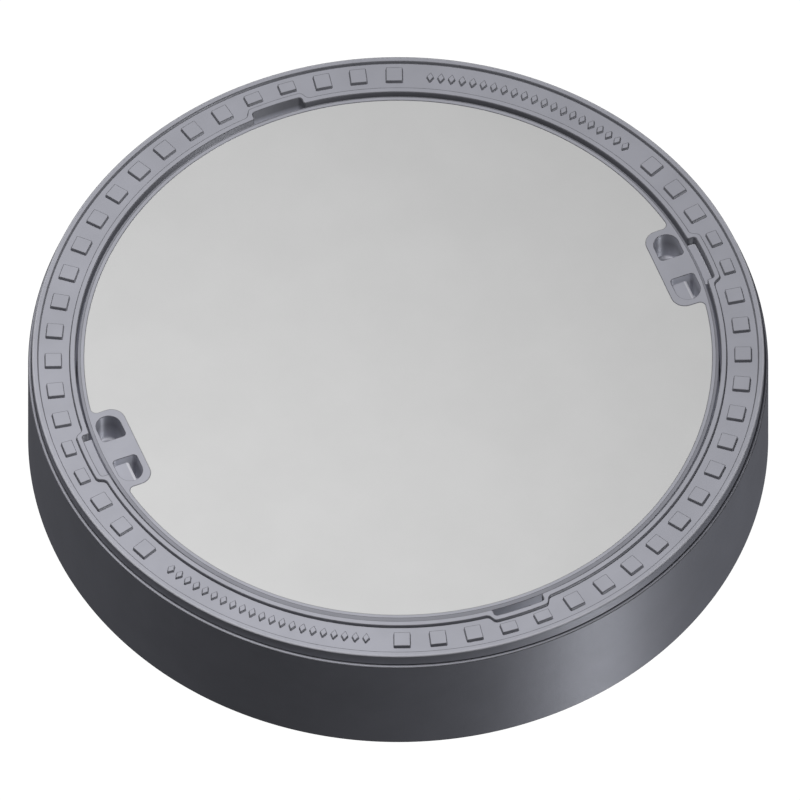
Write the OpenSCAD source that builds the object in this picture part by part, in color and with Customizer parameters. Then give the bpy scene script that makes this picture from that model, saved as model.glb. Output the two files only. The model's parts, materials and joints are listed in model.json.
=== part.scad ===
// Round manhole cover and frame for road traffic: a concrete-filled iron cover that lies loose in an iron
// and concrete frame. The origin is the centre of the underside. The cover's two bosses lie along X.

/* [Frame] */
// Outside diameter of the frame
frame_d = 785; // [780:1:790]
// Height of the frame, which is the height of the whole part
frame_h = 153; // [150:1:160]
// Inside diameter of the concrete neck that the frame stands on
neck_d = 625; // [620:1:630]
// Clear opening through the seat
opening_d = 605; // [600:1:608]
// Depth of the seat below the top
seat_depth = 56; // [54:1:58]
// Depth of the ledge round the outside, below the top
ledge_depth = 15; // [13:1:17]
// Width of the ledge round the outside
ledge_w = 4; // [3:0.5:4.5]

/* [Top band] */
// Diameter of the recess that the cover lies in
recess_d = 685; // [683.6:0.2:685.4]
// Height of the rims and pads above the band
relief_h = 4; // [2:0.5:5]
// Width of the inner rim
rim_w = 6; // [5:0.5:6]
// Width of the outer rim
outer_rim_w = 6.5; // [5.5:0.5:6.5]
// Side of a square pad
pad_w = 18; // [14:1:18]
// Number of places in the ring of pads
pad_places = 60; // [60:12:60]
// Number of places that each plain patch takes, where lozenges stand instead of pads
patch_places = 7; // [5:2:7]
// Number of lozenges in each patch
lozenges = 21; // [15:2:23]

/* [Notches and ears] */
// Length of a notch along the rim
notch_l = 56; // [52:1:57]
// Depth of a notch below the top
notch_depth = 44; // [40:1:46]
// Depth of an ear's top below the top of the cover
ear_drop = 10; // [8:1:14]

/* [Cover] */
// Depth of the cover's top below the frame's rims
cover_drop = 2; // [1:0.5:2.5]
// Diameter of the cover
cover_d = 680; // [678:0.5:681]
// Diameter of the concrete face
infill_d = 666.6; // [664:0.2:668]
// Chamfer round the cover's top edge
cover_chamfer = 3; // [2:0.5:3.5]
// Length of a boss along the rim
boss_l = 101; // [98:1:104]
// Distance from the axis to the inner edge of a boss
boss_in = 297.7; // [297:0.1:299]
// Depth of a lifting pocket
pocket_depth = 40; // [38:1:41]
// Depth of the step in one pocket of each boss
step_depth = 11; // [9:1:14]
// Number of spokes under the pan
spokes = 8; // [4:4:12]

/* [Reinforcement] */
// Diameter of the mesh bars and stirrups
bar_d = 8; // [6:1:8]
// Diameter of the frame's hoops
hoop_d = 10; // [8:1:10]
// Distance between neighbouring mesh bars
mesh_pitch = 95; // [85:1:100]
// Number of stirrups round the frame
stirrups = 12; // [6:6:12]

/* [Hidden] */
$fn = 180;

frame_r = frame_d / 2;
neck_r = neck_d / 2;
opening_r = opening_d / 2;
recess_r = recess_d / 2;
cover_r = cover_d / 2;
infill_r = infill_d / 2;

// Frame casting
top_r = frame_r - ledge_w;
band_z = frame_h - relief_h;
seat_z = frame_h - seat_depth;
skirt_t = 8;
plate_t = 12;
recess_wall_r = recess_r + 11.5;
seat_t = 12;
collar_bottom_z = seat_z - 38;
collar_r = neck_r + 2.5;
pad_out_r = 374.7;
small_pad_w = 12.5;
edge = 1;

// Notches: the wall, the raised rim and the iron behind them step outwards together
notch_r = recess_r + 8.5;
notch_rim_r = notch_r + rim_w;
notch_back_r = notch_rim_r + 4;
notch_count = 4;
rim_step_in = 70;
rim_step_out = 61;

// Lozenges
lozenge_l = 13;
lozenge_w = 8;
lozenge_r = 364.5;

// Damping ring
groove_in_r = 321;
groove_w = 12;
groove_depth = 5;
ring_h = 9;

// Cover casting
cover_z = frame_h - cover_drop;
flange_z = seat_z - groove_depth + ring_h;
flange_t = 8;
pan_r = opening_r - 4.5;
pan_t = 8;
pan_z = flange_z - 24;
rib_z = pan_z - 10;
rib_t = 8;
hub_r = 40;
ring_rib_r = 165;
rim_foot_r = infill_r - 2;

// Bosses and pockets, in a boss's own axes: X outwards, Y along the rim
boss_corner_r = 20;
boss_blend_r = 9;
pocket_in = 304.6;
pocket_out = 331.7;
pocket_from = 13;
pocket_to = 44;
pocket_w = pocket_out - pocket_in;
pocket_mid = (pocket_in + pocket_out) / 2;
pocket_round_r = pocket_w / 2;
pocket_corner_r = 4;

// Ears, which stand in the notches beside the bosses
ear_h = 26;
ear_gap = 1.5;
ear_l = notch_l - 2 * ear_gap;
ear_r = notch_r - ear_gap;
ear_z = cover_z - ear_drop - ear_h;

// Mesh in the cover
mesh_bars = 5;
mesh_cover = 10;
layer_gap = 0.5;
pan_floor_z = pan_z + pan_t;
long_z = pan_floor_z + mesh_cover + bar_d / 2;
cross_z = long_z + bar_d + layer_gap;
mesh_r = pan_r - pan_t - 20;
spacer_l = 40;
spacer_w = 24;

// Cage in the frame
cage_in_r = neck_r + 16;
cage_out_r = frame_r - skirt_t - 15;
cage_low_z = 20;
cage_high_z = seat_z - seat_t - 18;
bend_r = 10;
hoop_inset = (bar_d + hoop_d) / 2 + 0.5;

through = 1;

function numbered(name, count) = [for (i = [1:count]) str(name, i)];

// Ring of rectangular section
module ring(r_in, r_out, z_low, z_high) {
    rotate_extrude()
        translate([r_in, z_low]) square([r_out - r_in, z_high - z_low]);
}

// Copies its children to each of the places, in degrees round the axis
module around(places) {
    for (a = places) rotate([0, 0, a]) children();
}

// Block that lies radially, from one distance to another and between two heights
module radial_block(from, to, width, z_low, z_high) {
    translate([from, -width / 2, z_low]) cube([to - from, width, z_high - z_low]);
}

// Block whose far side follows a circle about the axis
module arc_block(from, r_out, width, z_low, z_high) {
    intersection() {
        radial_block(from, r_out + 10, width, z_low, z_high);
        translate([0, 0, z_low]) cylinder(r = r_out, h = z_high - z_low);
    }
}

function notch_angles() = [for (i = [0:notch_count - 1]) i * 360 / notch_count];

// ---- Frame ----

// Section of the casting: rims, band, ledge, skirt, recess wall, grooved seat and throat collar
module frame_section() {
    polygon([
        [frame_r - skirt_t, 0],
        [frame_r, 0],
        [frame_r, frame_h - ledge_depth],
        [top_r, frame_h - ledge_depth],
        [top_r, frame_h - edge],
        [top_r - edge, frame_h],
        [top_r - outer_rim_w + edge, frame_h],
        [top_r - outer_rim_w, frame_h - edge],
        [top_r - outer_rim_w, band_z],
        [recess_r + rim_w, band_z],
        [recess_r + rim_w, frame_h - edge],
        [recess_r + rim_w - edge, frame_h],
        [recess_r + edge, frame_h],
        [recess_r, frame_h - edge],
        [recess_r, seat_z],
        [groove_in_r + groove_w, seat_z],
        [groove_in_r + groove_w, seat_z - groove_depth],
        [groove_in_r, seat_z - groove_depth],
        [groove_in_r, seat_z],
        [opening_r, seat_z],
        [opening_r, collar_bottom_z],
        [collar_r, collar_bottom_z],
        [collar_r, seat_z - seat_t],
        [recess_wall_r, seat_z - seat_t],
        [recess_wall_r, band_z - plate_t],
        [frame_r - skirt_t, band_z - plate_t]
    ]);
}

// Raised rim that steps outwards round a notch
module notch_rim() {
    intersection() {
        translate([0, 0, band_z - through]) linear_extrude(relief_h + through)
            polygon([
                [recess_r, -rim_step_in / 2],
                [recess_r + rim_w, -rim_step_in / 2],
                [notch_rim_r, -rim_step_out / 2],
                [notch_rim_r + through, 0],
                [notch_rim_r, rim_step_out / 2],
                [recess_r + rim_w, rim_step_in / 2],
                [recess_r, rim_step_in / 2]
            ]);
        cylinder(r = notch_rim_r, h = frame_h);
    }
}

// Iron behind and under a notch
module notch_backing() {
    arc_block(recess_r + 2, notch_back_r, notch_l + 16, frame_h - notch_depth - 8, band_z);
}

module notch() {
    arc_block(recess_r - 5, notch_r, notch_l, frame_h - notch_depth, frame_h + through);
}

// Angles of the pads: those next to a notch are small, and the two plain patches have none
pad_step = 360 / pad_places;
patch_mid = pad_step / 2 + 7 * pad_step;

function from_nearest(a, period) = abs(a - period * round(a / period));
function by_notch(a) = from_nearest(a, 360 / notch_count) < pad_step;
function in_patch(a) = from_nearest(a - patch_mid, 180) < patch_places * pad_step / 2;

pad_angles = [for (i = [0:pad_places - 1]) (i + 0.5) * pad_step];
small_pads = [for (a = pad_angles) if (by_notch(a)) a];
full_pads = [for (a = pad_angles) if (!by_notch(a) && !in_patch(a)) a];

module pad(length) {
    radial_block(pad_out_r - length, pad_out_r, pad_w, band_z - through, frame_h);
}

// Row of plain raised lozenges on a patch
module lozenge_row() {
    span = (patch_places - 1) * pad_step;
    around([for (i = [0:lozenges - 1]) patch_mid + span * (i / (lozenges - 1) - 0.5)])
        translate([lozenge_r, 0, band_z - through]) linear_extrude(relief_h - 1 + through)
            polygon([
                [-lozenge_l / 2, 0], [0, -lozenge_w / 2], [lozenge_l / 2, 0], [0, lozenge_w / 2]
            ]);
}

module frame_casting() {
    color("slategray") difference() {
        union() {
            rotate_extrude() frame_section();
            around(notch_angles()) notch_backing();
            around(notch_angles()) notch_rim();
            around(full_pads) pad(pad_w);
            around(small_pads) pad(small_pad_w);
            around([0, 180]) lozenge_row();
        }
        around(notch_angles()) notch();
    }
}

// Centre line of each hoop, as [radius, height]
hoop_places = [
    [cage_out_r - hoop_inset, cage_low_z + hoop_inset],
    [cage_out_r - hoop_inset, cage_high_z - hoop_inset],
    [cage_in_r + hoop_inset, cage_low_z + hoop_inset],
    [cage_in_r + hoop_inset, cage_high_z - hoop_inset]
];

module hoop(i) {
    color("sienna") rotate_extrude()
        translate(hoop_places[i]) circle(d = hoop_d, $fn = 36);
}

// Quarter bend of a stirrup, in the XZ plane, centred on its bend and turned by a quarter turns
module stirrup_bend(r, z, quarter) {
    translate([r, 0, z]) rotate([90, 0, 0]) rotate([0, 0, quarter * 90])
        rotate_extrude(angle = 90) translate([bend_r, 0]) circle(d = bar_d, $fn = 36);
}

// Closed link round the four hoops
module stirrup_shape() {
    r_low = cage_in_r + bend_r;
    r_high = cage_out_r - bend_r;
    z_low = cage_low_z + bend_r;
    z_high = cage_high_z - bend_r;
    for (z = [cage_low_z, cage_high_z])
        translate([r_low, 0, z]) rotate([0, 90, 0]) cylinder(d = bar_d, h = r_high - r_low, $fn = 36);
    for (r = [cage_in_r, cage_out_r])
        translate([r, 0, z_low]) cylinder(d = bar_d, h = z_high - z_low, $fn = 36);
    stirrup_bend(r_high, z_high, 0);
    stirrup_bend(r_low, z_high, 1);
    stirrup_bend(r_low, z_low, 2);
    stirrup_bend(r_high, z_low, 3);
}

function stirrup_angle(i) = (i - 0.5) * 360 / stirrups;

module stirrup(i) {
    color("sienna") rotate([0, 0, stirrup_angle(i)]) stirrup_shape();
}

// Concrete that fills the casting from below, with room for the cage
module frame_concrete() {
    color("darkgray") difference() {
        rotate_extrude() polygon([
            [neck_r, 0],
            [frame_r - skirt_t, 0],
            [frame_r - skirt_t, band_z - plate_t],
            [recess_wall_r, band_z - plate_t],
            [recess_wall_r, seat_z - seat_t],
            [collar_r, seat_z - seat_t],
            [collar_r, collar_bottom_z],
            [neck_r, collar_bottom_z]
        ]);
        around(notch_angles()) notch_backing();
        for (i = [0:3]) hoop(i);
        for (i = [1:stirrups]) stirrup(i);
    }
}

// Rubber ring in the groove of the seat, with its top edges cut off
module seat_damping_ring() {
    z_low = seat_z - groove_depth;
    color("dimgray") rotate_extrude() polygon([
        [groove_in_r, z_low],
        [groove_in_r + groove_w, z_low],
        [groove_in_r + groove_w, seat_z],
        [groove_in_r + groove_w - 2, z_low + ring_h],
        [groove_in_r + 2, z_low + ring_h],
        [groove_in_r, seat_z]
    ]);
}

// ---- Cover ----

// Section of the casting: chamfered rim, bearing flange and pan
module cover_section() {
    polygon([
        [infill_r, cover_z],
        [cover_r - cover_chamfer, cover_z],
        [cover_r, cover_z - cover_chamfer],
        [cover_r, flange_z + 2],
        [cover_r - 2, flange_z],
        [pan_r, flange_z],
        [pan_r, rib_z],
        [pan_r - pan_t, rib_z],
        [pan_r - pan_t, pan_z],
        [0, pan_z],
        [0, pan_floor_z],
        [pan_r - pan_t, pan_floor_z],
        [pan_r - pan_t, flange_z + flange_t],
        [rim_foot_r, flange_z + flange_t]
    ]);
}

// Outline of a boss: round inner corners, and ends that sweep out into the rim
module boss_outline() {
    half = boss_l / 2;
    outer_x = infill_r + 3;
    corner_x = boss_in + boss_corner_r;
    blend_y = half + boss_blend_r;
    blend_x = sqrt(pow(infill_r - boss_blend_r, 2) - pow(blend_y, 2));
    difference() {
        union() {
            translate([corner_x, -half]) square([outer_x - corner_x, boss_l]);
            translate([boss_in, -half + boss_corner_r])
                square([outer_x - boss_in, boss_l - 2 * boss_corner_r]);
            for (side = [-1, 1])
                translate([corner_x, side * (half - boss_corner_r)]) circle(r = boss_corner_r);
            for (side = [-1, 1])
                translate([blend_x, side > 0 ? half - 1 : -blend_y])
                    square([outer_x - blend_x, boss_blend_r + 1]);
        }
        for (side = [-1, 1]) translate([blend_x, side * blend_y]) circle(r = boss_blend_r);
    }
}

// Boss from the flange to the top, kept inside the rim
module boss() {
    intersection() {
        translate([0, 0, flange_z]) linear_extrude(cover_z - flange_z) boss_outline();
        cylinder(r = infill_r + 2, h = cover_z);
    }
}

// D-shaped outline of a pocket: a flat end by the bridge and a round far end
module pocket_outline() {
    far_y = pocket_to - pocket_round_r;
    translate([pocket_mid, far_y]) circle(r = pocket_round_r);
    translate([pocket_in, pocket_from + pocket_corner_r])
        square([pocket_w, far_y - pocket_from - pocket_corner_r]);
    translate([pocket_in + pocket_corner_r, pocket_from])
        square([pocket_w - 2 * pocket_corner_r, far_y - pocket_from]);
    for (x = [pocket_in + pocket_corner_r, pocket_out - pocket_corner_r])
        translate([x, pocket_from + pocket_corner_r]) circle(r = pocket_corner_r);
}

module plain_pocket() {
    translate([0, 0, cover_z - pocket_depth]) linear_extrude(pocket_depth + through) pocket_outline();
}

// Pocket whose half on the low X side is only as deep as its step
module stepped_pocket() {
    mirror([0, 1, 0]) {
        translate([0, 0, cover_z - step_depth]) linear_extrude(step_depth + through) pocket_outline();
        intersection() {
            plain_pocket();
            translate([pocket_mid, 0, 0]) cube([pocket_w, pocket_to + through, cover_z + through]);
        }
    }
}

// Both pockets of a boss. The other boss has the same pair, moved along X and not turned round.
module pocket_pair() {
    plain_pocket();
    stepped_pocket();
}

module ear() {
    arc_block(cover_r - 4, ear_r, ear_l, ear_z, cover_z - ear_drop);
}

// Spokes, hub and ring under the pan
module pan_ribs() {
    cylinder(r = hub_r, h = pan_z - rib_z);
    ring(ring_rib_r - rib_t / 2, ring_rib_r + rib_t / 2, 0, pan_z - rib_z);
    around([for (i = [0:spokes - 1]) (i + 0.5) * 360 / spokes])
        radial_block(hub_r - 2, pan_r - pan_t + 2, rib_t, 0, pan_z - rib_z);
}

module cover_casting() {
    color("slategray") difference() {
        union() {
            rotate_extrude() cover_section();
            translate([0, 0, rib_z]) pan_ribs();
            around([0, 180]) boss();
            around([0, 180]) ear();
        }
        pocket_pair();
        translate([-2 * pocket_mid, 0, 0]) pocket_pair();
    }
}

function mesh_offset(i) = (i - (mesh_bars + 1) / 2) * mesh_pitch;
function mesh_half(i) = sqrt(pow(mesh_r, 2) - pow(mesh_offset(i), 2));

// Bar of the lower layer, along X
module mesh_long(i) {
    color("sienna") translate([-mesh_half(i), mesh_offset(i), long_z]) rotate([0, 90, 0])
        cylinder(d = bar_d, h = 2 * mesh_half(i), $fn = 36);
}

// Bar of the upper layer, along Y
module mesh_cross(i) {
    color("sienna") translate([mesh_offset(i), mesh_half(i), cross_z]) rotate([90, 0, 0])
        cylinder(d = bar_d, h = 2 * mesh_half(i), $fn = 36);
}

// Each spacer stands midway between two cross bars, under the second or the last bar but one
function spacer_bar(i) = i <= 2 ? 2 : mesh_bars - 1;
function spacer_x(i) = (i % 2 == 0 ? 1.5 : -1.5) * mesh_pitch;

// Block under a spacer's bar, as high as the middle of the bar
module spacer_block(i) {
    translate([spacer_x(i) - spacer_l / 2, mesh_offset(spacer_bar(i)) - spacer_w / 2, pan_floor_z])
        cube([spacer_l, spacer_w, long_z - pan_floor_z]);
}

module mesh_spacer(i) {
    color("gray") difference() {
        spacer_block(i);
        mesh_long(spacer_bar(i));
    }
}

// Concrete infill, flush with the rim, cast round the bosses and the mesh
module cover_concrete() {
    color("lightgray") difference() {
        rotate_extrude() polygon([
            [0, pan_floor_z],
            [pan_r - pan_t, pan_floor_z],
            [pan_r - pan_t, flange_z + flange_t],
            [rim_foot_r, flange_z + flange_t],
            [infill_r, cover_z],
            [0, cover_z]
        ]);
        around([0, 180]) boss();
        for (i = [1:mesh_bars]) {
            mesh_long(i);
            mesh_cross(i);
        }
        for (i = [1:4]) spacer_block(i);
    }
}

frame_casting();
frame_concrete();
seat_damping_ring();
hoop(0);  // outer_hoop_lower
hoop(1);  // outer_hoop_upper
hoop(2);  // inner_hoop_lower
hoop(3);  // inner_hoop_upper
for (i = [1:stirrups]) stirrup(i);
cover_casting();
cover_concrete();
for (i = [1:mesh_bars]) {
    mesh_long(i);
    mesh_cross(i);
}
for (i = [1:4]) mesh_spacer(i);
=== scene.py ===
"""The looks of the round manhole cover and its frame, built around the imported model.

Sizes are in millimetres, as in the design, and are turned into Blender's metres where a mesh is made.
The cover's two bosses lie along X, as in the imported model.
"""

import json
import math

import bmesh
import bpy
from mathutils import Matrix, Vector
from mathutils.geometry import tessellate_polygon


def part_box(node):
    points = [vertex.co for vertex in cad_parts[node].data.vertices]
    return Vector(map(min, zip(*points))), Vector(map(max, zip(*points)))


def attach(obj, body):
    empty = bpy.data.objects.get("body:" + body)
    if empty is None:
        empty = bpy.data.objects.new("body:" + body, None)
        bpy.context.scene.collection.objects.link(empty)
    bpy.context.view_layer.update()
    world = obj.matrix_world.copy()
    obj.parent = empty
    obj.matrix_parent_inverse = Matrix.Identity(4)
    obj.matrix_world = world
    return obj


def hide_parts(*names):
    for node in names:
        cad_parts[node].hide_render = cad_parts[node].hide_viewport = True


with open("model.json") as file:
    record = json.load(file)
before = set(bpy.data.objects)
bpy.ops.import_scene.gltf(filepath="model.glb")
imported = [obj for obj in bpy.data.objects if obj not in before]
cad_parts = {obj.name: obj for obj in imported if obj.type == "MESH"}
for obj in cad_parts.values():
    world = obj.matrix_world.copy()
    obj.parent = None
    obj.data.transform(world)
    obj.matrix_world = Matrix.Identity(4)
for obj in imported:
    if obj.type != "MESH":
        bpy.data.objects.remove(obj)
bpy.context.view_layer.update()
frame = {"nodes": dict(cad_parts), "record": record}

MM = 0.001

# ---- Sizes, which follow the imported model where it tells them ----


def reach(node):
    """The largest radius of a round node, and its lowest and highest level."""
    low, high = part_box(node)
    return round(high.y / MM, 1), round(low.z / MM, 1), round(high.z / MM, 1)


FRAME_R, _, TOP = reach("frame_casting")
COVER_R, COVER_LOW, COVER_TOP = reach("cover_casting")
INFILL_R, PAN_FLOOR, _ = reach("cover_concrete")
RING_R, RING_LOW, RING_TOP = reach("seat_damping_ring")

LEDGE_DEPTH = 15
LEDGE_W = 4
RELIEF = 4
RIM_W = 6
OUTER_RIM_W = 6.5
TOP_R = FRAME_R - LEDGE_W
BAND = TOP - RELIEF
EDGE_R = 0.8
FOOT_R = 0.5
SKIRT_T = 8
PLATE_T = 12

RECESS_R = COVER_R + 2.5
RECESS_WALL_R = RECESS_R + 11.5
SEAT = RING_LOW + 5
SEAT_T = 12
OPENING_R = 302.5
COLLAR_R = 315
COLLAR_LOW = SEAT - 38
RING_W = 12

NOTCH_DEPTH = 44
NOTCH_HALF = 28
NOTCH_R = RECESS_R + 8.5
NOTCH_RIM_R = NOTCH_R + RIM_W
RIM_STEP_IN = 34.5
RIM_STEP_OUT = 30
# How far down the recess wall the painted shade reaches.
PAINTED_SHADE_WALL = 12

PAD_W = 18
SMALL_PAD_W = 12.5
PAD_OUT_R = 374.7
PAD_STEP = 6
PAD_EDGE_R = 0.7
PATCH_PLACES = 7
PATCH_MID = 45
LOZENGES = 21
LOZENGE_L = 13
LOZENGE_W = 8
LOZENGE_R = 364.5

CHAMFER = 3
BOSS_HALF = 51
BOSS_IN = 297.7
BOSS_CORNER_R = 23
BOSS_BLEND_R = 12
POCKET_IN = 304.6
POCKET_OUT = 331.7
POCKET_FROM = 13
POCKET_TO = 44
POCKET_CORNER_R = 4
POCKET_DEPTH = 40
STEP_DEPTH = 11
STEP_W = 19.8
STEP_ROUND = 4.5
STEP_BITE = 0.4

FLANGE = RING_TOP
FLANGE_T = 8
PAN_R = OPENING_R - 4.5
PAN_T = 8
PAN_LOW = PAN_FLOOR - PAN_T
HUB_R = 40
RING_RIB_R = 165
RIB_T = 8
SPOKES = 8
EAR_R = NOTCH_R - 0.9
EAR_HALF = NOTCH_HALF - 1.2
EAR_DROP = 8
EAR_H = 26

# ---- Marks that the materials read: painted shade with some grime in corners and on low walls, and wear and a painted highlight on edges ----

LOW_WALL = 13
LEAD = 0.5
RUBBED = 0.5

# ---- Outlines: lists of points, walked anticlockwise ----


def polar(radius, degrees):
    a = math.radians(degrees)
    return Vector((radius * math.cos(a), radius * math.sin(a)))


def turned(points, degrees):
    c, s = math.cos(math.radians(degrees)), math.sin(math.radians(degrees))
    return [Vector((c * p.x - s * p.y, s * p.x + c * p.y)) for p in points]


def fillet(before, corner, after, radius, steps):
    """Points of an arc that rounds a corner, with one point a little before it and one a little after,
    where the corner's wear or grime fades out."""
    a, b = (before - corner), (after - corner)
    room_a, room_b = a.length, b.length
    a.normalize()
    b.normalize()
    opening = math.acos(max(-1, min(1, a.dot(b))))
    back = min(radius / math.tan(opening / 2), 0.48 * room_a, 0.48 * room_b)
    radius = back * math.tan(opening / 2)
    centre = corner + (a + b).normalized() * (radius / math.sin(opening / 2))
    start, end = corner + a * back, corner + b * back
    from_centre = (start - centre).normalized()
    across = (end - centre) - from_centre * (end - centre).dot(from_centre)
    across.normalize()
    sweep = math.pi - opening
    arc = []
    for i in range(steps + 1):
        t = sweep * i / steps
        arc.append(centre + (from_centre * math.cos(t) + across * math.sin(t)) * radius)
    lead = min(LEAD, 0.08 * room_a, 0.08 * room_b)
    return [start + a * lead] + arc + [end + b * lead]


def rounded(corners, steps=5, closed=False):
    """A path through corners, each a point and a radius. A corner of radius 0 stays as it is."""
    count = len(corners)
    path = []
    for i, (point, radius) in enumerate(corners):
        at_end = not closed and i in (0, count - 1)
        if radius == 0 or at_end:
            path.append(point.copy())
            continue
        before, after = corners[i - 1][0], corners[(i + 1) % count][0]
        path += fillet(before, point, after, radius, steps)
    return path


def offset(path, distance):
    """A closed path moved outwards, away from the side that its walk keeps on the left."""
    count = len(path)
    moved = []
    for i, p in enumerate(path):
        along = (path[(i + 1) % count] - path[i - 1]).normalized()
        moved.append(p + Vector((along.y, -along.x)) * distance)
    return moved


def shrunk(corners, inset, steps=4):
    """The rounded outline of a convex shape, given as corners with a radius each, moved inwards."""
    count = len(corners)
    moved = []
    for i, (p, radius) in enumerate(corners):
        a = (p - corners[i - 1][0]).normalized()
        b = (corners[(i + 1) % count][0] - p).normalized()
        out_a, out_b = Vector((a.y, -a.x)), Vector((b.y, -b.x))
        place = p - (out_a + out_b) * (inset / (1 + out_a.dot(out_b)))
        moved.append((place, max(radius - inset, 0.3) if radius else 0))
    return rounded(moved, steps, closed=True)


def level(path, z):
    return [(p.x, p.y, z) for p in path]


def with_sectors(sector, copies, plain_step=0.75):
    """A closed path round the axis: a sector's points, centred on angle 0, and plain arcs between copies.
    The sector gives points, and the arcs keep the radius and angle that it ends with."""
    radius, end = sector[-1].length, math.degrees(math.atan2(sector[-1].y, sector[-1].x))
    span = 360 / copies - 2 * end
    steps = max(1, round(span / plain_step))
    arc = [polar(radius, end + span * i / steps) for i in range(1, steps)]
    path = []
    for k in range(copies):
        path += turned(sector + arc, k * 360 / copies)
    return path


def circle_like(path, radius):
    """A circle with a point at the angle of each of the path's points."""
    return [p.normalized() * radius for p in path]


# ---- Meshes ----


class Shell:
    """A mesh in the making. Wear marks the rubbed edges and one painted highlight, and the other mark
    paints shade, with some grime, on the sharp edges and inner corners.
    """

    def __init__(self):
        self.bm = bmesh.new()
        self.wear_and_highlight = self.bm.verts.layers.float.new("wear_and_highlight")
        self.painted_shade_and_grime = self.bm.verts.layers.float.new("painted_shade_and_grime")

    def ring(self, points, wear_and_highlight=0.0, painted_shade_and_grime=0.0):
        verts = [self.bm.verts.new([c * MM for c in p]) for p in points]
        for v in verts:
            v[self.wear_and_highlight] = wear_and_highlight
            v[self.painted_shade_and_grime] = painted_shade_and_grime
        return verts

    def bridge(self, a, b, closed=True):
        count = len(a)
        for i in range(count if closed else count - 1):
            j = (i + 1) % count
            self.bm.faces.new((a[i], a[j], b[j], b[i]))

    def loft(self, rings, looped=False):
        """Joins rings in turn, and the last to the first if it is looped."""
        for a, b in zip(rings, rings[1:]):
            self.bridge(a, b)
        if looped:
            self.bridge(rings[-1], rings[0])
        return rings

    def fan(self, ring, z):
        """Closes a ring with triangles to a point on the axis."""
        hub = self.bm.verts.new((0, 0, z * MM))
        for i, v in enumerate(ring):
            self.bm.faces.new((v, ring[(i + 1) % len(ring)], hub))

    def cap(self, ring):
        self.bm.faces.new(ring)

    def patch(self, *loops):
        """Fills the level area inside the first loop of vertices and outside the others."""
        verts = [v for loop in loops for v in loop]
        for triangle in tessellate_polygon([[v.co for v in loop] for loop in loops]):
            self.bm.faces.new([verts[i] for i in triangle])

    def solid(self, sections):
        """A closed solid lofted through rings, with a flat cap on both ends."""
        rings = self.loft([self.ring(*s) for s in sections])
        self.cap(rings[0])
        self.cap(rings[-1])

    def finish(self, name, body, material, replaced):
        bm = self.bm
        bmesh.ops.recalc_face_normals(bm, faces=bm.faces)
        for f in bm.faces:
            f.smooth = True
        mesh = bpy.data.meshes.new(name)
        bm.to_mesh(mesh)
        bm.free()
        mesh.materials.append(material)
        piece = bpy.data.objects.new(name, mesh)
        bpy.context.scene.collection.objects.link(piece)
        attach(piece, body)
        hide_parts(replaced)
        return piece


def profile(corners, steps=5, side=1):
    """A section given as corners, each its way out, level and radius, with its corners rounded.
    Gives (out, level, wear, shade) for each point. A well rounded corner that sticks out is rubbed, and
    the other rounded ones get painted shade with some grime, as does all of a low wall between two of
    those. A corner of radius 0 stays sharp, and may name its own painted shade. side is -1 for a section
    that is walked with the solid on its right."""
    places = [Vector(corner[:2]) for corner in corners]
    last = len(corners) - 1
    painted_shade_and_grime, rubbed, sharp = [], [], []
    for i, (_, _, radius, *own) in enumerate(corners):
        sharp.append(radius == 0 or i in (0, last))
        if sharp[i]:
            painted_shade_and_grime.append(own[0] if own else 0.0)
            rubbed.append(False)
            continue
        a, b = places[i] - places[i - 1], places[i + 1] - places[i]
        rubbed.append(radius >= 1 and side * (a.x * b.y - a.y * b.x) > 0)
        painted_shade_and_grime.append(0.0 if rubbed[i] else 1.0)

    def on_wall(i, j):
        """The painted shade, with some grime, that a corner and its neighbour share, if a low wall joins
        them.
        """
        span = places[j] - places[i]
        is_low_wall = abs(span.x) < abs(span.y) < LOW_WALL
        return min(painted_shade_and_grime[i], painted_shade_and_grime[j]) if is_low_wall else 0.0

    marked = []
    for i, place in enumerate(places):
        if sharp[i]:
            marked.append((place.x, place.y, 0.0, painted_shade_and_grime[i]))
            continue
        lead_in, *arc, lead_out = fillet(places[i - 1], place, places[i + 1], corners[i][2], steps)
        marked.append((lead_in.x, lead_in.y, 0.0, on_wall(i, i - 1)))
        marked += [(p.x, p.y, RUBBED if rubbed[i] else 0.0, painted_shade_and_grime[i]) for p in arc]
        marked.append((lead_out.x, lead_out.y, 0.0, on_wall(i, i + 1)))
    return marked


def along(path, corners, steps=5, side=1):
    """Rings that follow a path at a distance."""
    marked = profile(corners, steps, side)
    return [(level(offset(path, out), z), wear_and_highlight, painted_shade_and_grime) for out, z, wear_and_highlight, painted_shade_and_grime in marked]


def about_axis(path, corners, steps=5, side=1):
    """Circular rings, with a point at the angle of each of the path's points."""
    marked = profile(corners, steps, side)
    return [(level(circle_like(path, r), z), wear_and_highlight, painted_shade_and_grime) for r, z, wear_and_highlight, painted_shade_and_grime in marked]


def stepped_in(corners, angle, section, steps=5):
    """Rings that follow a convex shape's outline at a distance, turned about the axis."""
    return [
        (level(turned(shrunk(corners, -out), angle), z), wear_and_highlight, painted_shade_and_grime)
        for out, z, wear_and_highlight, painted_shade_and_grime in profile(section, steps)
    ]


# ---- Materials ----


def shader(name, **constants):
    material = bpy.data.materials.new(name)
    material.use_nodes = True
    nodes = material.node_tree.nodes
    surface = nodes["Principled BSDF"]
    for socket, value in constants.items():
        surface.inputs[socket.replace("_", " ")].default_value = value
    return material, nodes, material.node_tree.links, surface


def grain(nodes, links, size_mm, detail=4.0, roughness=0.6):
    """Noise in the object's own space, with lumps of about the given size."""
    place = nodes.new("ShaderNodeTexCoord")
    noise = nodes.new("ShaderNodeTexNoise")
    noise.inputs["Scale"].default_value = 1 / (size_mm * MM)
    noise.inputs["Detail"].default_value = detail
    noise.inputs["Roughness"].default_value = roughness
    links.new(place.outputs["Object"], noise.inputs["Vector"])
    return noise.outputs["Fac"]


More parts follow.
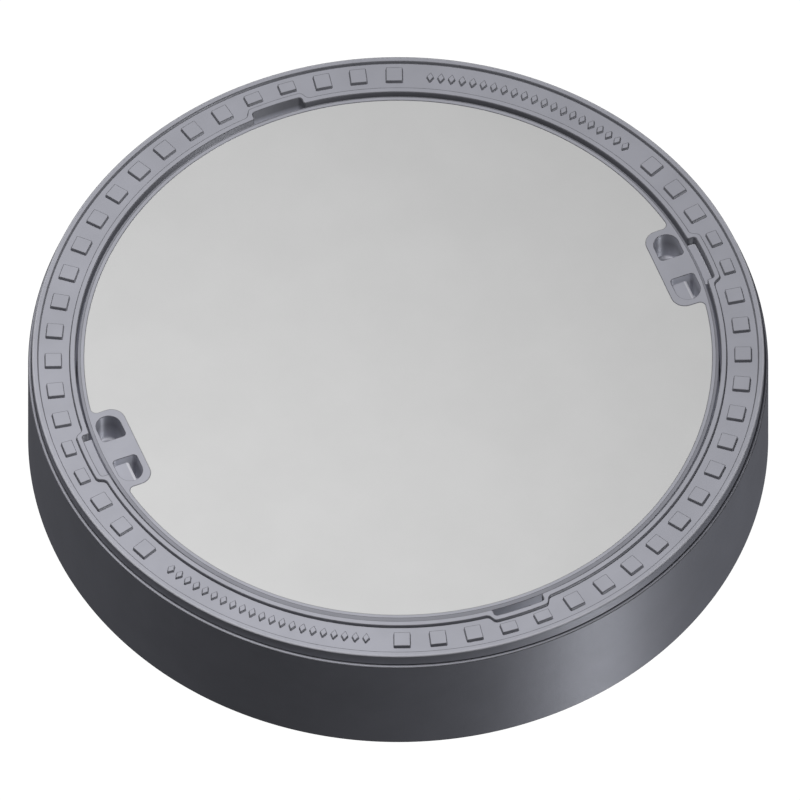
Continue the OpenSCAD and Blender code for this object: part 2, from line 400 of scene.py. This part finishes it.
def ramp(nodes, links, source, low, high, start, end):
    """Maps a value that runs from low to high onto start to end, and clamps it."""
    node = nodes.new("ShaderNodeMapRange")
    for socket, value in zip(("From Min", "From Max", "To Min", "To Max"), (low, high, start, end)):
        node.inputs[socket].default_value = value
    links.new(source, node.inputs["Value"])
    return node.outputs["Result"]


def mixed(nodes, links, share, a, b):
    """Mixes two colours. Each is a colour or the socket that gives it."""
    node = nodes.new("ShaderNodeMix")
    node.data_type = "RGBA"
    links.new(share, node.inputs["Factor"])
    for socket, value in (("A", a), ("B", b)):
        target = [s for s in node.inputs if s.name == socket and s.type == "RGBA"][0]
        if isinstance(value, tuple):
            target.default_value = (*value, 1)
        else:
            links.new(value, target)
    return [s for s in node.outputs if s.type == "RGBA"][0]


def bump(nodes, links, height, distance_mm, strength=1.0, under=None):
    node = nodes.new("ShaderNodeBump")
    node.inputs["Distance"].default_value = distance_mm * MM
    node.inputs["Strength"].default_value = strength
    links.new(height, node.inputs["Height"])
    if under is not None:
        links.new(under, node.inputs["Normal"])
    return node.outputs["Normal"]


def attribute(nodes, name):
    node = nodes.new("ShaderNodeAttribute")
    node.attribute_name = name
    return node.outputs["Fac"]


def cast_iron():
    """As-cast grey iron: sand grain, faint blotches, edges rubbed brighter, one painted highlight, and
    painted shade with some dirt in corners and on low walls.
    """
    material, nodes, links, surface = shader("cast_iron", Metallic=0.15, Specular_IOR_Level=0.3)
    blotch = ramp(nodes, links, grain(nodes, links, 60, 3), 0.35, 0.65, 0, 1)
    base = mixed(nodes, links, blotch, (0.406, 0.410, 0.456), (0.436, 0.440, 0.490))
    # Rubbed edges lighter as real wear; the stepped pocket's rounded edge is lightened here too, as a
    # painted highlight.
    worn_and_highlit = ramp(nodes, links, attribute(nodes, "wear_and_highlight"), 0.2, 1.0, 0.0, 0.95)
    base = mixed(nodes, links, worn_and_highlit, base, (0.62, 0.62, 0.66))
    # Painted shade: sharp edges, inner corners, low walls and pocket walls darkened, partly as grime.
    painted_shade_and_dirt = ramp(nodes, links, attribute(nodes, "painted_shade_and_grime"), 0.1, 0.9, 0.0, 0.82)
    base = mixed(nodes, links, painted_shade_and_dirt, base, (0.10, 0.10, 0.11))
    links.new(base, surface.inputs["Base Color"])
    sand = grain(nodes, links, 1.6, 5)
    rough = ramp(nodes, links, sand, 0.3, 0.7, 0.42, 0.54)
    links.new(rough, surface.inputs["Roughness"])
    ripple = bump(nodes, links, grain(nodes, links, 14, 2), 0.10)
    links.new(bump(nodes, links, sand, 0.05, under=ripple), surface.inputs["Normal"])
    return material


def infill_concrete():
    """Pale, smoothly trowelled concrete with fine sand, faint clouds and small pores."""
    material, nodes, links, surface = shader("infill_concrete")
    cloud = ramp(nodes, links, grain(nodes, links, 90, 4), 0.35, 0.65, 0, 1)
    base = mixed(nodes, links, cloud, (0.568, 0.568, 0.566), (0.586, 0.586, 0.584))
    sand = grain(nodes, links, 1.2, 3)
    speck = ramp(nodes, links, sand, 0.62, 0.72, 0, 0.12)
    base = mixed(nodes, links, speck, base, (0.42, 0.42, 0.42))
    # A painted dark line of shade along the infill's rounded top edge, at its joint with the iron.
    painted_shade_and_dirt = ramp(nodes, links, attribute(nodes, "painted_shade_and_grime"), 0.1, 1.0, 0.0, 0.5)
    base = mixed(nodes, links, painted_shade_and_dirt, base, (0.25, 0.25, 0.25))
    links.new(base, surface.inputs["Base Color"])
    links.new(ramp(nodes, links, sand, 0.3, 0.7, 0.7, 0.85), surface.inputs["Roughness"])
    wave = bump(nodes, links, grain(nodes, links, 25, 2), 0.12)
    links.new(bump(nodes, links, sand, 0.04, under=wave), surface.inputs["Normal"])
    return material


def rough_concrete(name, light, dark, lump_mm):
    """Cast concrete with stones, sand and air holes, for faces that nobody trowelled."""
    material, nodes, links, surface = shader(name)
    cloud = ramp(nodes, links, grain(nodes, links, 45, 4), 0.3, 0.7, 0, 1)
    base = mixed(nodes, links, cloud, dark, light)
    stones = nodes.new("ShaderNodeTexVoronoi")
    stones.inputs["Scale"].default_value = 1 / (lump_mm * MM)
    links.new(nodes.new("ShaderNodeTexCoord").outputs["Object"], stones.inputs["Vector"])
    holes = ramp(nodes, links, stones.outputs["Distance"], 0.08, 0.16, 1, 0)
    base = mixed(nodes, links, holes, base, tuple(c * 0.45 for c in dark))
    links.new(base, surface.inputs["Base Color"])
    sand = grain(nodes, links, 1.5, 5)
    links.new(ramp(nodes, links, sand, 0.3, 0.7, 0.8, 0.95), surface.inputs["Roughness"])
    pitted = bump(nodes, links, ramp(nodes, links, holes, 0, 1, 1, 0), 0.8)
    links.new(bump(nodes, links, sand, 0.35, under=pitted), surface.inputs["Normal"])
    return material


def rubber():
    material, nodes, links, surface = shader("seat_rubber")
    mottle = ramp(nodes, links, grain(nodes, links, 8, 3), 0.3, 0.7, 0, 1)
    base = mixed(nodes, links, mottle, (0.018, 0.018, 0.019), (0.035, 0.035, 0.036))
    links.new(base, surface.inputs["Base Color"])
    fine = grain(nodes, links, 0.8, 3)
    links.new(ramp(nodes, links, fine, 0.3, 0.7, 0.55, 0.75), surface.inputs["Roughness"])
    links.new(bump(nodes, links, fine, 0.05), surface.inputs["Normal"])
    return material


def rebar():
    material, nodes, links, surface = shader("reinforcing_steel", Metallic=0.6)
    rust = ramp(nodes, links, grain(nodes, links, 10, 5), 0.4, 0.6, 0, 1)
    base = mixed(nodes, links, rust, (0.22, 0.20, 0.19), (0.24, 0.10, 0.045))
    links.new(base, surface.inputs["Base Color"])
    links.new(ramp(nodes, links, rust, 0, 1, 0.45, 0.9), surface.inputs["Roughness"])
    links.new(bump(nodes, links, grain(nodes, links, 1, 4), 0.1), surface.inputs["Normal"])
    return material


IRON = cast_iron()
INFILL = infill_concrete()

# ---- The frame casting ----


def notch_sector(out, r_plain, r_notch, half_in, half_out, round_in, round_out):
    """Half of an outline that steps outwards round a notch, and its mirror image.
    It runs on the plain circle, turns at half_in, rises to the notch's circle and turns at half_out."""
    x_in = math.sqrt(r_plain**2 - half_in**2)
    x_out = math.sqrt(r_notch**2 - half_out**2)
    top = math.degrees(math.asin(half_out / r_notch))
    low = [(polar(r_plain, -out), 0), (Vector((x_in, -half_in)), round_in)]
    low += [(Vector((x_out, -half_out)), round_out)]
    mid = [(polar(r_notch, top * k / 3), 0) for k in (-2, -1, 0, 1, 2)]
    high = [(Vector((p.x, -p.y)), r) for p, r in reversed(low)]
    return rounded(low + mid + high, steps=6)


NOTCH_SPAN = 7.5
rim_inner = with_sectors(
    notch_sector(NOTCH_SPAN, RECESS_R, NOTCH_R, NOTCH_HALF, NOTCH_HALF, 2.2, 3), 4
)
rim_outer = with_sectors(
    notch_sector(NOTCH_SPAN, RECESS_R + RIM_W, NOTCH_RIM_R, RIM_STEP_IN, RIM_STEP_OUT, 6, 5), 4
)


def frame_body(shell):
    """The whole casting but its pads, walked from the skirt's foot over the top and down to the seat."""
    # Edges under 1 mm round, inner corners and the low walls between them get painted shade, with some
    # grime.
    outside = [
        (FRAME_R - SKIRT_T, 0, 0),
        (FRAME_R, 0, EDGE_R),
        (FRAME_R, TOP - LEDGE_DEPTH, EDGE_R),
        (TOP_R, TOP - LEDGE_DEPTH, EDGE_R),
        (TOP_R, TOP, 1.8),
        (TOP_R - OUTER_RIM_W, TOP, EDGE_R),
        (TOP_R - OUTER_RIM_W, BAND, FOOT_R),
        (NOTCH_RIM_R + 10, BAND, 0),
    ]
    rim_back = [(1.5, BAND, 0), (0, BAND, FOOT_R), (0, TOP, EDGE_R), (-1.6, TOP, 0)]
    recess = [
        (1.8, TOP, 0),
        (0, TOP, EDGE_R),
        # The recess wall is painted with shade down to this corner.
        (0, TOP - PAINTED_SHADE_WALL, 0, 1.0),
        (0, TOP - PAINTED_SHADE_WALL - 10, 0),
        (0, TOP - NOTCH_DEPTH, 0),
    ]
    seat = [
        (RECESS_R, TOP - NOTCH_DEPTH - 0.4, 0),
        (RECESS_R, SEAT, 2),
        (RING_R, SEAT, 0.5),
        (RING_R, SEAT - 5, 0.5),
        (RING_R - RING_W, SEAT - 5, 0.5),
        (RING_R - RING_W, SEAT, 0.5),
        (OPENING_R, SEAT, 2),
        (OPENING_R, COLLAR_LOW, 1.5),
        (COLLAR_R, COLLAR_LOW, 0.5),
        (COLLAR_R, SEAT - SEAT_T, 0.5),
        (RECESS_WALL_R, SEAT - SEAT_T, 0.5),
        (RECESS_WALL_R, BAND - PLATE_T, 0.5),
        (FRAME_R - SKIRT_T, BAND - PLATE_T, 0.5),
        (FRAME_R - SKIRT_T, 1, 0),
    ]
    rings = about_axis(rim_outer, outside)
    rings += along(rim_outer, rim_back)
    rings += along(rim_inner, recess)
    rings += about_axis(rim_inner, seat)
    shell.loft([shell.ring(*r) for r in rings], looped=True)


def raised(shell, corners, angle, height):
    """A raised shape on the band, with sides that lean in a little and a rounded edge and foot."""
    # The raised shape's edge, foot and low side between them get painted shade, with some grime.
    section = [
        (FOOT_R, BAND - 1.5, 0),
        (FOOT_R, BAND + 0.02, 0.1),
        (0, BAND + 0.02, FOOT_R),
        (-0.2, BAND + height, PAD_EDGE_R),
        (-0.2 - 2 * PAD_EDGE_R, BAND + height, 0),
    ]
    shell.solid(stepped_in(corners, angle, section, steps=4))


def box_corners(x, y, radius):
    return [(Vector(c), radius) for c in ((x[0], y[0]), (x[1], y[0]), (x[1], y[1]), (x[0], y[1]))]


def from_nearest(angle, period):
    return abs(angle - period * round(angle / period))


def pads(shell):
    for i in range(360 // PAD_STEP):
        angle = (i + 0.5) * PAD_STEP
        if from_nearest(angle - PATCH_MID, 180) < PATCH_PLACES * PAD_STEP / 2:
            continue
        by_notch = from_nearest(angle, 90) < PAD_STEP
        length = SMALL_PAD_W if by_notch else PAD_W
        corners = box_corners((PAD_OUT_R - length, PAD_OUT_R), (-PAD_W / 2, PAD_W / 2), 1.2)
        raised(shell, corners, angle, RELIEF)


def lozenges(shell):
    """A row of plain lozenges on each of the two patches that have no pads."""
    span = (PATCH_PLACES - 1) * PAD_STEP
    half_l, half_w = LOZENGE_L / 2, LOZENGE_W / 2
    tips = ((-half_l, 0), (0, -half_w), (half_l, 0), (0, half_w))
    corners = [(Vector((LOZENGE_R + x, y)), 0.8) for x, y in tips]
    for side in (0, 180):
        for i in range(LOZENGES):
            angle = side + PATCH_MID + span * (i / (LOZENGES - 1) - 0.5)
            raised(shell, corners, angle, RELIEF - 1)


def frame_casting():
    shell = Shell()
    frame_body(shell)
    pads(shell)
    lozenges(shell)
    return shell.finish("frame_iron", "frame", IRON, "frame_casting")


# ---- The cover casting ----

BOSS_SPAN = 15


def boss_sector(radius):
    """The edge of the infill beside a boss: off the circle, along the boss's end and round its corner."""
    x_rim = math.sqrt(radius**2 - BOSS_HALF**2)
    low = [(polar(radius, a), 0) for a in (-BOSS_SPAN, -14, -13, -12, -11.4)]
    low += [(Vector((x_rim, -BOSS_HALF)), BOSS_BLEND_R), (Vector((BOSS_IN, -BOSS_HALF)), BOSS_CORNER_R)]
    mid = [(Vector((BOSS_IN, y)), 0) for y in (-15, 0, 15)]
    high = [(Vector((p.x, -p.y)), r) for p, r in reversed(low)]
    return rounded(low + mid + high, steps=10)


boss_points = boss_sector(INFILL_R)
infill_edge = with_sectors(boss_points, 2)
cover_circle = with_sectors(
    [
        polar(1.0, BOSS_SPAN * (2 * i / (len(boss_points) - 1) - 1))
        for i in range(len(boss_points))
    ],
    2,
)


def pocket_outline(mirrored):
    """A pocket's D: a flat end beside the bridge and a round far end."""
    mid, r = (POCKET_IN + POCKET_OUT) / 2, (POCKET_OUT - POCKET_IN) / 2
    far = POCKET_TO - r
    flat = [(POCKET_IN, far), (POCKET_IN, POCKET_FROM), (POCKET_OUT, POCKET_FROM), (POCKET_OUT, far)]
    radii = (0, POCKET_CORNER_R, POCKET_CORNER_R, 0)
    path = rounded([(Vector(p), radius) for p, radius in zip(flat, radii)], steps=5)
    path += [Vector((mid, far)) + polar(r, 180 * i / 16) for i in range(1, 16)]
    if mirrored:
        path = [Vector((p.x, -p.y)) for p in reversed(path)]
    return path


def pocket(shell, mirrored, shift):
    """Sinks a pocket and returns its rim, for the face that surrounds it."""
    path = [p + Vector((shift, 0)) for p in pocket_outline(mirrored)]
    floor = COVER_TOP - POCKET_DEPTH
    corners = [
        (1.0, COVER_TOP, 0),
        (0, COVER_TOP, EDGE_R),
        # Painted shade down the pocket's walls and over its floor.
        (0, COVER_TOP - 16, 0, 0.5),
        (0, floor, 3),
        (-4, floor, 0, 0.6),
    ]
    rings = [shell.ring(*r) for r in along(path, corners, steps=4, side=-1)]
    shell.loft(rings)
    shell.cap(rings[-1])
    return rings[0]


def pocket_step(shell, shift):
    """The block on the low X side of the stepped pocket, set into its walls, with its edge rounded and
    painted with a highlight.
    """
    mid, r = (POCKET_IN + POCKET_OUT) / 2, (POCKET_OUT - POCKET_IN) / 2 + STEP_BITE
    far = POCKET_TO - r + STEP_BITE
    corner = POCKET_CORNER_R + STEP_BITE
    start, end = POCKET_IN - STEP_BITE, POCKET_IN + STEP_W
    top, low = COVER_TOP - STEP_DEPTH, COVER_TOP - POCKET_DEPTH - 1
    bend = end - STEP_ROUND
    places = [start + (bend - start) * i / 12 for i in range(13)]
    places += [bend + STEP_ROUND * math.sin(math.radians(9 * i)) for i in range(1, 11)]
    rings = []
    for x in places:
        into = max(0, start + corner - x)
        near = POCKET_FROM - STEP_BITE + corner - math.sqrt(corner**2 - into**2)
        away = far + math.sqrt(max(0, r**2 - (x - mid) ** 2))
        over = max(0, x - bend)
        high = top - STEP_ROUND + math.sqrt(STEP_ROUND**2 - over**2)
        face = [(y, high) for y in (away, away - 0.3, near + 0.3, near)]
        section = [(away, low), *face, (near, low)]
        # The rounded edge is painted lighter through the wear mark: a painted highlight, not wear.
        rings.append(shell.ring([(x + shift, -y, z) for y, z in section], wear_and_highlight=min(1, over)))
    shell.loft(rings)
    shell.cap(rings[0])
    shell.cap(rings[-1])


def cover_top(shell, inner, outer):
    """The rim's top face between two rings, with the four pockets sunk in its bosses."""
    bosses = [range(len(boss_points) - 1)]
    half = len(infill_edge) // 2
    bosses.append(range(half, half + len(boss_points) - 1))
    for i in range(len(inner)):
        if any(i in b for b in bosses):
            continue
        j = (i + 1) % len(inner)
        shell.bm.faces.new((inner[i], inner[j], outer[j], outer[i]))
    step_shift = -(POCKET_IN + POCKET_OUT)
    for b, shift in zip(bosses, (0, step_shift)):
        ends = list(b) + [b[-1] + 1]
        loop = [outer[i] for i in ends] + [inner[i] for i in reversed(ends)]
        holes = [pocket(shell, False, shift), pocket(shell, True, shift)]
        pocket_step(shell, shift)
        shell.patch(loop, *holes)


def cover_body(shell):
    """The casting but its spokes and ears, walked from the top face down, under the pan and back inside."""
    outside = [
        (COVER_R - CHAMFER - 0.8, COVER_TOP, 0),
        (COVER_R - CHAMFER, COVER_TOP, 0.5),
        (COVER_R, COVER_TOP - CHAMFER, 0.5),
        (COVER_R, FLANGE + 2, 0.5),
        (COVER_R - 2, FLANGE, 0.5),
        (PAN_R, FLANGE, 3),
        (PAN_R, COVER_LOW, 2),
        (PAN_R - PAN_T, COVER_LOW, 2),
        (PAN_R - PAN_T, PAN_LOW, 4),
        (RING_RIB_R + RIB_T / 2, PAN_LOW, 3),
        (RING_RIB_R + RIB_T / 2, COVER_LOW, 2),
        (RING_RIB_R - RIB_T / 2, COVER_LOW, 2),
        (RING_RIB_R - RIB_T / 2, PAN_LOW, 3),
        (HUB_R, PAN_LOW, 3),
        (HUB_R, COVER_LOW, 2),
        (HUB_R / 2, COVER_LOW, 0),
    ]
    under = [shell.ring(*r) for r in about_axis(cover_circle, outside, side=-1)]
    shell.loft(under)
    shell.fan(under[-1], COVER_LOW)
    edge = [(0.8, COVER_TOP, 0), (0, COVER_TOP, 0.5), (0, FLANGE + FLANGE_T, 0)]
    inside = [shell.ring(*r) for r in along(infill_edge, edge)]
    pan = [(PAN_R - PAN_T, FLANGE + FLANGE_T, 0), (PAN_R - PAN_T, PAN_FLOOR, 0), (100, PAN_FLOOR, 0)]
    inside += [shell.ring(*r) for r in about_axis(cover_circle, pan)]
    shell.loft(inside)
    shell.fan(inside[-1], PAN_FLOOR)
    cover_top(shell, inside[0], under[0])


def spokes(shell):
    low, high = COVER_LOW + 0.5, PAN_LOW + 3
    corners = box_corners((HUB_R - 4, PAN_R - PAN_T + 4), (-RIB_T / 2, RIB_T / 2), 1.9)
    section = [(-3.6, low, 0), (0, low, 1.8), (0, high, 0), (-3.6, high, 0)]
    for i in range(SPOKES):
        shell.solid(stepped_in(corners, (i + 0.5) * 360 / SPOKES, section, steps=4))


def ears(shell):
    """The ears that stand in two of the notches. Their outer face follows the cover's circle."""
    turn = math.degrees(math.asin(EAR_HALF / EAR_R))
    x_in, x_out = COVER_R - 6, math.sqrt(EAR_R**2 - EAR_HALF**2)
    corners = [(Vector((x_in, -EAR_HALF)), 0), (Vector((x_out, -EAR_HALF)), 2)]
    corners += [(polar(EAR_R, turn * k / 4), 0) for k in (-3, -2, -1, 0, 1, 2, 3)]
    corners += [(Vector((x_out, EAR_HALF)), 2), (Vector((x_in, EAR_HALF)), 0)]
    high = COVER_TOP - EAR_DROP
    section = [(-3, high - EAR_H, 0), (0, high - EAR_H, 1.5), (0, high, 1.0), (-2, high, 0)]
    for side in (0, 180):
        shell.solid(stepped_in(corners, side, section, steps=4))


def cover_casting():
    shell = Shell()
    cover_body(shell)
    spokes(shell)
    ears(shell)
    return shell.finish("cover_iron", "cover", IRON, "cover_casting")


# ---- The infill and the damping ring ----


def infill():
    """The concrete of the cover, a hair below the rim, with its edge rounded."""
    shell = Shell()
    face = COVER_TOP - 0.4
    middle_r = BOSS_IN - 14
    # The rounded top edge gets painted shade as a dark line at the joint.
    edge = [(0, FLANGE + FLANGE_T, 0), (0, face, 0.5), (-1.5, face, 0)]
    rings = [shell.ring(*r) for r in along(infill_edge, edge)]
    foot = [(PAN_R - PAN_T, FLANGE + FLANGE_T, 0), (PAN_R - PAN_T, PAN_FLOOR, 0), (100, PAN_FLOOR, 0)]
    under = [shell.ring(*r) for r in about_axis(cover_circle, foot)]
    shell.loft([*reversed(under), *rings])
    shell.fan(under[-1], PAN_FLOOR)
    disc = [(middle_r, face, 0), (middle_r / 2, face, 0), (8, face, 0)]
    rounds = [shell.ring(*r) for r in about_axis(cover_circle, disc)]
    shell.patch(rings[-1], rounds[0])
    shell.loft(rounds)
    shell.fan(rounds[-1], face)
    return shell.finish("cover_infill", "cover", INFILL, "cover_concrete")


def damping_ring():
    """The rubber ring in its groove, with a rounded bead above the seat."""
    shell = Shell()
    inner = RING_R - RING_W
    corners = [
        (inner + RING_W / 2, RING_LOW, 0),
        (RING_R, RING_LOW, 0.4),
        (RING_R, RING_TOP, 3),
        (inner, RING_TOP, 3),
        (inner, RING_LOW, 0.4),
        (inner + RING_W / 2 - 0.5, RING_LOW, 0),
    ]
    rings = [shell.ring(*r) for r in about_axis(rim_inner, corners)]
    shell.loft(rings, looped=True)
    return shell.finish("damping_ring", "frame", rubber(), "seat_damping_ring")


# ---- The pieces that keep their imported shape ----


def dress_packed_nodes():
    finishes = {
        "frame_concrete": rough_concrete("frame_concrete", (0.34, 0.335, 0.32), (0.24, 0.235, 0.225), 14),
        "spacer_mortar": rough_concrete("spacer_mortar", (0.42, 0.41, 0.38), (0.33, 0.32, 0.30), 6),
        "reinforcing_steel": rebar(),
        "cast_iron": IRON,
        "infill_concrete": INFILL,
        "seat_rubber": rubber(),
    }
    for entry in frame["record"]["subparts"]:
        node = frame["nodes"][entry["node"]]
        slots = node.data.materials
        slots.clear()
        slots.append(finishes[entry["material_slot"]])


# ---- Floor, camera and lights ----

VIEW_TURN = -21.65
VIEW_RISE = 55.0
VIEW_WIDTH = 0.8483
AIM_RIGHT = 0.00195
AIM_UP = 0.0416


def towards(turn, rise):
    """The direction in which something stands that is turn degrees round from the camera's own side,
    anticlockwise seen from above, and rise degrees up."""
    a, e = math.radians(VIEW_TURN + turn - 90), math.radians(rise)
    return Vector((math.cos(a) * math.cos(e), math.sin(a) * math.cos(e), math.sin(e)))


def camera():
    data = bpy.data.cameras.new("camera")
    data.type = "ORTHO"
    data.ortho_scale = VIEW_WIDTH
    view = bpy.data.objects.new("camera", data)
    bpy.context.scene.collection.objects.link(view)
    back = towards(0, VIEW_RISE)
    right = Vector((-back.y, back.x, 0)).normalized()
    up = back.cross(right)
    view.location = back * 3 + right * AIM_RIGHT + up * AIM_UP
    view.rotation_mode = "QUATERNION"
    view.rotation_quaternion = back.to_track_quat("Z", "Y")
    bpy.context.scene.camera = view


def floor():
    bm = bmesh.new()
    bmesh.ops.create_grid(bm, x_segments=1, y_segments=1, size=20)
    mesh = bpy.data.meshes.new("floor")
    bm.to_mesh(mesh)
    bm.free()
    ground = bpy.data.objects.new("floor", mesh)
    bpy.context.scene.collection.objects.link(ground)
    ground.location.z = -0.0005
    material, nodes, links, surface = shader("floor", Base_Color=(0, 0, 0, 1), Specular_IOR_Level=0.0)
    surface.inputs["Emission Color"].default_value = (1, 1, 1, 1)
    surface.inputs["Emission Strength"].default_value = 1.05
    mesh.materials.append(material)
    ground.visible_diffuse = False
    ground.visible_glossy = False
    ground.visible_shadow = False
    return ground


def lamp(name, kind, power):
    data = bpy.data.lights.new(name, kind)
    data.energy = power
    item = bpy.data.objects.new(name, data)
    bpy.context.scene.collection.objects.link(item)
    item.rotation_mode = "QUATERNION"
    return item


def far_light(name, turn, rise, softness, power, blockers):
    """A light that comes from one direction. Only the blockers cast its shadows."""
    item = lamp(name, "SUN", power)
    item.data.angle = math.radians(softness)
    item.data.color = (0.93, 0.95, 1.0)
    item.rotation_quaternion = towards(turn, rise).to_track_quat("Z", "Y")
    item.light_linking.blocker_collection = blockers


def lights(ground):
    """A soft lamp overhead, tilted to one side and kept out of the gloss, and weak low lights that graze
    the upright faces without a shadow."""
    world = bpy.data.worlds.new("world")
    bpy.context.scene.world = world
    world.use_nodes = True
    sky = world.node_tree.nodes["Background"]
    sky.inputs["Color"].default_value = (0.95, 0.96, 1.0, 1)
    sky.inputs["Strength"].default_value = 0.07
    key = lamp("key", "AREA", 51)
    key.data.shape = "DISK"
    key.data.size = 0.6
    key.visible_glossy = False
    key.location = towards(-45, 0) * 0.2 + Vector((0, 0, 2.2))
    key.rotation_quaternion = (-towards(-45, -60)).to_track_quat("Z", "Y")
    blockers = bpy.data.collections.new("blockers")
    blockers.objects.link(ground)
    far_light("low_right", 64, -55, 8, 0.57, blockers)
    far_light("low_side", 95, -10, 20, 0.25, blockers)
    far_light("low_left", -105, -15, 20, 0.3, blockers)


camera()
dress_packed_nodes()
frame_casting()
cover_casting()
infill()
damping_ring()
lights(floor())
bpy.context.scene.view_settings.view_transform = "Standard"
